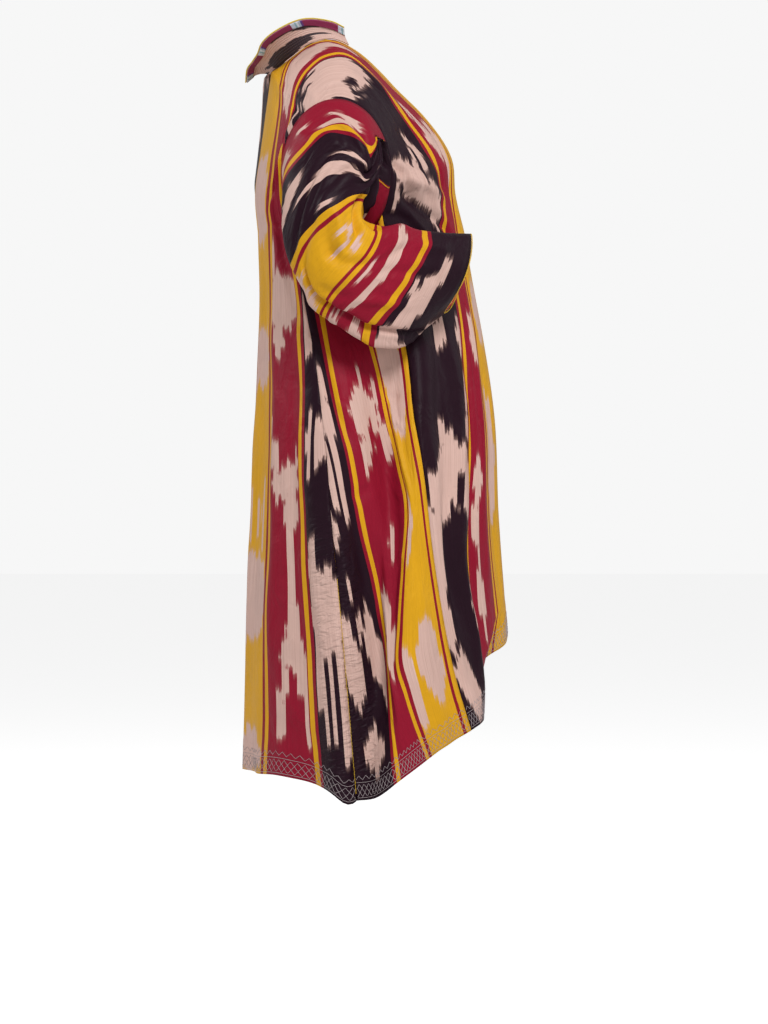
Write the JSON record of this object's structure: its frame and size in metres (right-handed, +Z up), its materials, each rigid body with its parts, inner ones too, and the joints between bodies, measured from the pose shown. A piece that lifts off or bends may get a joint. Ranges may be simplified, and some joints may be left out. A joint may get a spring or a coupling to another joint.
{
  "type": "ikat kaftan",
  "caption": "Worn loose kaftan of striped ikat silk with wide sleeves, a flared braided collar and a high-low hem, open at neck, cuffs and hem.",
  "frame": {"origin": "centre of the neck opening, at the height where the cloth lies on the wearer's shoulders", "axes": "+Z up, the front faces -Y, the garment's right side is at -X"},
  "size_m": [0.6818, 0.4234, 1.2105],
  "materials": {
    "ikat_silk": "silk with a soft satin sheen, warp ikat stripes and blots",
    "collar_silk": "densely stitched silk",
    "woven_braid": "narrow woven tape",
    "yellow_edging": "thin corded edge",
    "facing_cotton": "matt printed cotton"
  },
  "bodies": {
    "root": {"body_length_right": "ikat_silk", "body_length_left": "ikat_silk", "side_panel_right": "ikat_silk", "side_panel_left": "ikat_silk", "sleeve_right": "ikat_silk", "sleeve_left": "ikat_silk", "collar": "collar_silk", "collar_braid": "woven_braid", "collar_edging": "yellow_edging", "cuff_piping_right": "yellow_edging", "cuff_piping_left": "yellow_edging", "cuff_facing_right": "facing_cotton", "cuff_facing_left": "facing_cotton"}
  },
  "joints": []
}
